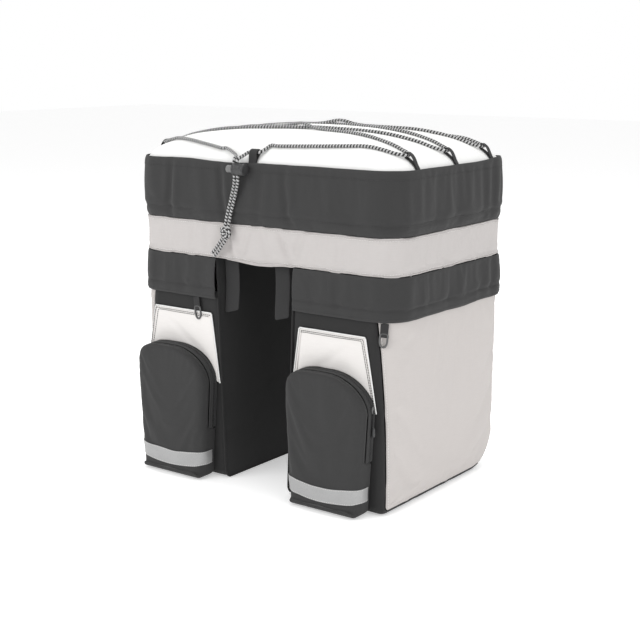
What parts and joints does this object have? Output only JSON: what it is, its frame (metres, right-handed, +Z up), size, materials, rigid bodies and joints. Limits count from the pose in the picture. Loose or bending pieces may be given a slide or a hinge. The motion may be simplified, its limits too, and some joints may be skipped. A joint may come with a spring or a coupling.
{
  "type": "bicycle trunk bag",
  "caption": "Rear rack bag with a laced trunk on top and a pannier with a zipped front pocket hanging at each side.",
  "frame": {"origin": "on the ground under the middle of the bag's box", "axes": "+Z up, -Y towards the pockets on the front, +X towards the right pannier"},
  "size_m": [0.405, 0.2972, 0.4486],
  "materials": {
    "charcoal_cloth": "coated woven polyester",
    "black_cloth": "woven polyester",
    "light_grey_cloth": "coated woven polyester",
    "warm_grey_cloth": "coated woven polyester",
    "off_white_cloth": "coated woven polyester",
    "white_cloth": "coated woven polyester",
    "reflective_tape": "satin reflective tape",
    "webbing": "woven webbing",
    "flecked_cord": "braided elastic cord",
    "black_plastic": "moulded",
    "grey_plastic": "moulded"
  },
  "bodies": {
    "bag": {"cord_end_left": "flecked_cord", "cord_end_right": "flecked_cord", "cord_lock_body": "black_plastic", "cord_loop_left_1": "webbing", "cord_loop_left_2": "webbing", "cord_loop_left_3": "webbing", "cord_loop_right_1": "webbing", "cord_loop_right_2": "webbing", "cord_loop_right_3": "webbing", "cord_tail_left": "flecked_cord", "cord_tail_right": "flecked_cord", "front_patch_left": "off_white_cloth", "front_patch_right": "off_white_cloth", "gusset_left": "black_cloth", "gusset_right": "black_cloth", "inner_panel_left": "black_cloth", "inner_panel_right": "black_cloth", "lacing_cord": "flecked_cord", "lock_loop": "webbing", "lower_band_left": "charcoal_cloth", "lower_band_right": "charcoal_cloth", "middle_band": "light_grey_cloth", "pannier_pull_left": "webbing", "pannier_pull_right": "webbing", "pocket_left": "charcoal_cloth", "pocket_pull_left": "webbing", "pocket_pull_right": "webbing", "pocket_right": "charcoal_cloth", "pocket_zip_left": "charcoal_cloth", "pocket_zip_right": "charcoal_cloth", "reflector_left": "reflective_tape", "reflector_right": "reflective_tape", "side_panel_left": "warm_grey_cloth", "side_panel_right": "warm_grey_cloth", "strap_left": "webbing", "strap_right": "webbing", "tail_knot": "flecked_cord", "top_panel": "white_cloth", "trunk_floor": "black_cloth", "trunk_pull": "webbing", "upper_band": "charcoal_cloth"},
    "lock_button": {"cord_lock_button": "grey_plastic"}
  },
  "joints": [
    {"name": "lock_button_slide", "type": "slide", "parent": "bag", "child": "lock_button", "axis": [1, 0, 0], "range_m": [0, 0.003], "stiffness_N_per_m": 300}
  ]
}
